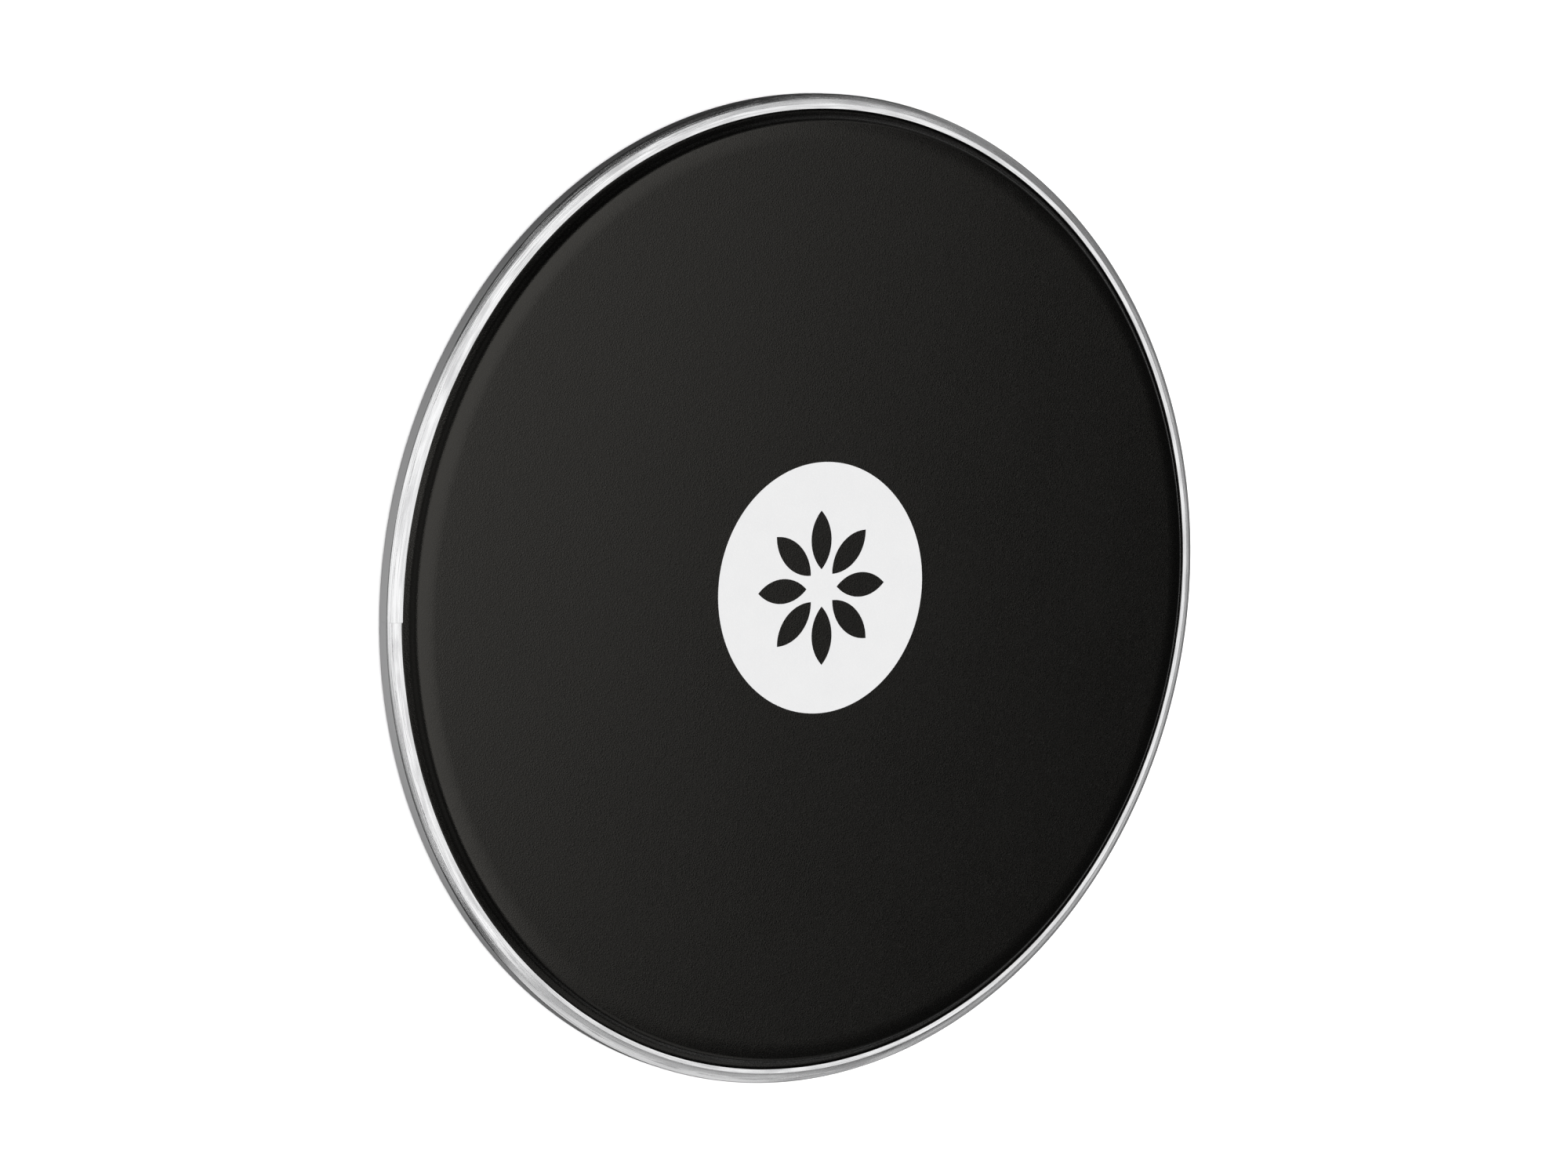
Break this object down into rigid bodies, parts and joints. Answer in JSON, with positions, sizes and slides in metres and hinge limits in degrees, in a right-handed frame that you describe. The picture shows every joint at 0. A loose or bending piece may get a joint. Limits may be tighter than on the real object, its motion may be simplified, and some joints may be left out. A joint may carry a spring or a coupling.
{
  "type": "hand drum head",
  "caption": "Loose head for a hand drum: black leather-grained skin, folded and locked into a thin crimped aluminium flesh hoop, with a round printed badge.",
  "frame": {"origin": "centre of the flesh hoop's underside, on the drum's axis", "axes": "+Z towards the playing side, along the drum's axis; +Y towards the top of the printed badge as the picture shows it, +X to the badge's right; the hoop's butt joint is at 179 degrees from +X"},
  "size_m": [0.3198, 0.3198, 0.0099],
  "materials": {
    "hoop_aluminium": "rolled, satin",
    "wire_steel": "drawn",
    "bead_resin": "cured adhesive",
    "film_polyester": "satin",
    "facing_napa": "fine napa grain, matt",
    "badge_ink": "screen-printed ink"
  },
  "bodies": {
    "root": {"flesh_hoop": "hoop_aluminium", "locking_wire": "wire_steel", "bonding_bead": "bead_resin", "base_film": "film_polyester", "napa_facing": "facing_napa", "printed_badge": "badge_ink"}
  },
  "joints": []
}
